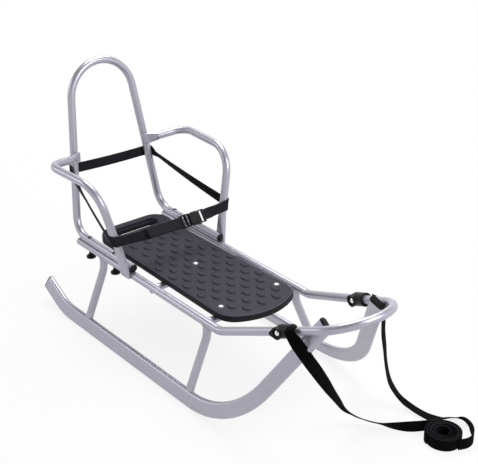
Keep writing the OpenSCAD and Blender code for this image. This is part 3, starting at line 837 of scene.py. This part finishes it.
def pads_tree():
    """Low oval pads on every vertex of a mesh."""
    tree, given = new_tree("seat_pads", (
        ("Radius", "Float", 0.007),
        ("Height", "Float", 0.0012),
        ("Crown", "Float", 0.004),
        ("Stretch", "Vector", (1.0, 1.0, 1.0)),
        ("Material", "Material", None),
    ))
    pad = tree_node(tree, "GeometryNodeMeshCone", settings={"fill_type": "NGON"}, sockets={
        "Vertices": 32,
        "Side Segments": 1,
        "Radius Bottom": given["Radius"],
        "Radius Top": given["Crown"],
        "Depth": given["Height"],
    })
    spread = tree_node(tree, "GeometryNodeInstanceOnPoints", sockets={
        "Points": given["Geometry"],
        "Instance": pad.outputs["Mesh"],
        "Scale": given["Stretch"],
    })
    finish_tree(tree, spread.outputs[0], given["Material"], smooth=False)
    return tree


def on_seat(x, y):
    """Whether a pad at this place lies on the seat's flat top, clear of its outline."""
    if x > SEAT_FRONT - PAD_EDGE or x < SEAT_END + GRIP_RUN + PAD_EDGE / 2:
        return False
    past_centre = x - (SEAT_FRONT - NOSE_R)
    if past_centre > 0 and math.hypot(past_centre, y) > NOSE_R - PAD_EDGE:
        return False
    share = (SEAT_FRONT - x) / (SEAT_FRONT - SEAT_END)
    half = SEAT_HALF + (SEAT_HALF_REAR - SEAT_HALF) * share - PAD_EDGE
    into_nose = max(x - (SEAT_FRONT - NOSE_RUN), 0)
    return abs(y) < half - into_nose**2 / NOSE_BOW


def seat_pads():
    """Staggered rows of low oval pads on the seat, longer along the sled."""
    spots = []
    for row in PAD_ROWS:
        x = PAD_FIRST + row * PAD_ROW
        for file in PAD_FILES:
            y = file * PAD_HALF
            clear = all(math.hypot(x - a, y - b) > PAD_R + PAD_SCREW_GAP for a, b in SCREWS)
            if (row + file) % 2 and clear and on_seat(x, y):
                spots.append((x * MM, y * MM, (SEAT_TOP + PAD_H / 2 - PAD_SINK) * MM))
    mesh = bpy.data.meshes.new("pad_spots")
    mesh.from_pydata(spots, [], [])
    values = {
        "Radius": PAD_R * MM,
        "Crown": PAD_R * PAD_CROWN_SHARE * MM,
        "Height": PAD_H * MM,
        "Stretch": PAD_STRETCH,
        "Material": FINISHES["seat_plastic"],
    }
    grow("seat_pads", mesh, pads_tree(), values, "seat_plastic")


CROSS_R = 8.0
CROSS_Z = 167.0
LEG_X = (KINK_X - 43, RAIL_END + 98)
WELD_R = 1.3
WELD_PITCH = 2.0
SEAM_ANGLES = np.radians(np.arange(0, 360, 15))


def beads_tree():
    """Overlapping beads along the edges of a mesh."""
    tree, given = new_tree("beads", (
        ("Pitch", "Float", 0.002),
        ("Radius", "Float", 0.002),
        ("Material", "Material", None),
    ))
    line = tree_node(tree, "GeometryNodeMeshToCurve", sockets={"Mesh": given["Geometry"]})
    steps = tree_node(
        tree,
        "GeometryNodeCurveToPoints",
        settings={"mode": "LENGTH"},
        sockets={"Curve": line.outputs[0], "Length": given["Pitch"]},
    )
    bead = tree_node(
        tree,
        "GeometryNodeMeshIcoSphere",
        sockets={"Radius": given["Radius"], "Subdivisions": 2},
    )
    spread = tree_node(tree, "GeometryNodeInstanceOnPoints", sockets={
        "Points": steps.outputs["Points"],
        "Instance": bead.outputs["Mesh"],
        "Rotation": steps.outputs["Rotation"],
    })
    finish_tree(tree, spread.outputs[0], given["Material"], smooth=True)
    return tree


def leg_seam(x, side):
    """The closed line where a leg meets its rail from below."""
    ring = []
    for angle in SEAM_ANGLES:
        aside = TUBE_R * math.sin(angle)
        drop = math.sqrt(max(TUBE_R**2 - aside**2, 0))
        ring.append((x + TUBE_R * math.cos(angle), side * RAIL_HALF + aside, RAIL_Z - drop))
    return ring


def crossbar_seam(x, side):
    """The closed line where a crossbar meets a rail's inner side."""
    ring = []
    for angle in SEAM_ANGLES:
        up = CROSS_Z - RAIL_Z + CROSS_R * math.sin(angle)
        reach = math.sqrt(max(TUBE_R**2 - up**2, 0))
        ring.append((x + CROSS_R * math.cos(angle), side * (RAIL_HALF - reach), RAIL_Z + up))
    return ring


def rings_mesh(name, rings):
    """Closed lines of points, in millimetres, as one mesh of edges."""
    spots, edges = [], []
    for ring in rings:
        first = len(spots)
        spots += [tuple(v * MM for v in place) for place in ring]
        edges += [(first + i, first + (i + 1) % len(ring)) for i in range(len(ring))]
    mesh = bpy.data.meshes.new(name)
    mesh.from_pydata(spots, edges, [])
    return mesh


def weld_seams():
    """Weld seams where the legs and crossbars meet the rails."""
    rings = []
    for side in SIDES:
        rings += [leg_seam(x, side) for x in LEG_X]
        rings += [crossbar_seam(x, side) for x in (CROSS_FRONT, CROSS_MIDDLE, CROSS_REAR)]
    values = {
        "Pitch": WELD_PITCH * MM,
        "Radius": WELD_R * MM,
        "Material": FINISHES["silver_paint"],
    }
    grow("weld_seams", rings_mesh("weld_lines", rings), beads_tree(), values, "silver_paint")


# The floor shows its own shade near the sled, and fades to plain white further out, in metres
FLOOR_HALF = 30
FLOOR_GLOW_NEAR = 0.86
FLOOR_NEAR = 0.6
FLOOR_FADE = 0.9


def lay_floor():
    """A wide pale floor that shows white and keeps a soft shadow."""
    mesh = bpy.data.meshes.new("floor")
    corners = [(-1, -1), (1, -1), (1, 1), (-1, 1)]
    mesh.from_pydata([(x * FLOOR_HALF, y * FLOOR_HALF, 0) for x, y in corners], [], [(0, 1, 2, 3)])
    floor = bpy.data.objects.new("floor", mesh)
    bpy.context.scene.collection.objects.link(floor)
    finish = Finish("pale_floor")
    finish.set(Base_Color=grey(0.6), Roughness=0.9)
    away = finish.node(
        "ShaderNodeVectorMath",
        settings={"operation": "LENGTH"},
        sockets={0: finish.place()},
        out="Value",
    )
    share = FLOOR_GLOW_NEAR + (1 - FLOOR_GLOW_NEAR) * ((away - FLOOR_NEAR) / FLOOR_FADE).clamp()
    glow = finish.node("ShaderNodeEmission", sockets={"Color": grey(1.0), "Strength": 1.0})
    seen = finish.background_rays() * share
    shown = finish.node("ShaderNodeMixShader", sockets={0: seen, 1: finish.surface, 2: glow})
    mesh.materials.append(finish.done(shown))


# The room's brightness from the horizon to overhead
ROOM_SHADES = ((0.0, grey(0.1)), (0.2, grey(0.2)), (0.5, grey(0.75)), (1.0, grey(1.0)))
ROOM_LEVEL = 0.62
# The backdrop: white from the horizon up, with a darker ceiling above it
PAPER_SHADES = ((0.0, grey(1.0)), (0.3, grey(1.0)), (0.55, grey(0.25)), (1.0, grey(0.15)))
# Lamps: name, place in metres, width in metres and power in watts
LAMPS = (
    ("lamp_above", (-0.9, 0.8, 2.4), 1.5, 66.0),
    ("lamp_front", (1.8, 0.6, 1.7), 1.2, 38.0),
    ("lamp_side", (-1.6, -1.5, 1.2), 0.7, 6.0),
)
LAMP_AIM = (0.05, 0, 0.2)


def light_studio():
    """Soft studio light: a room that is brighter overhead, a white backdrop and three wide lamps."""
    world = bpy.data.worlds.new("studio")
    bpy.context.scene.world = world
    studio = Shading(world)
    height = studio.split(studio.node("ShaderNodeTexCoord", out="Generated"), "Z")
    shades = studio.node("ShaderNodeValToRGB", {"stops": ROOM_SHADES}, {0: height})
    room = studio.node("ShaderNodeBackground", sockets={"Color": shades, "Strength": ROOM_LEVEL})
    white = studio.node("ShaderNodeValToRGB", {"stops": PAPER_SHADES}, {0: height})
    paper = studio.node("ShaderNodeBackground", sockets={"Color": white, "Strength": 1.0})
    seen = studio.background_rays()
    shown = studio.node("ShaderNodeMixShader", sockets={0: seen, 1: room, 2: paper})
    studio.node("ShaderNodeOutputWorld", sockets={0: shown})
    for name, place, size, power in LAMPS:
        data = bpy.data.lights.new(name, "AREA")
        data.size = size
        data.energy = power
        lamp = bpy.data.objects.new(name, data)
        lamp.location = place
        aim = Vector(LAMP_AIM) - Vector(place)
        lamp.rotation_euler = aim.to_track_quat("-Z", "Y").to_euler()
        bpy.context.scene.collection.objects.link(lamp)


bpy.context.scene.view_settings.view_transform = "Standard"
aim_camera()
tow_strap()
dress_frame()
belt()
belt_tail()
buckle()
seat_pads()
weld_seams()
lay_floor()
light_studio()
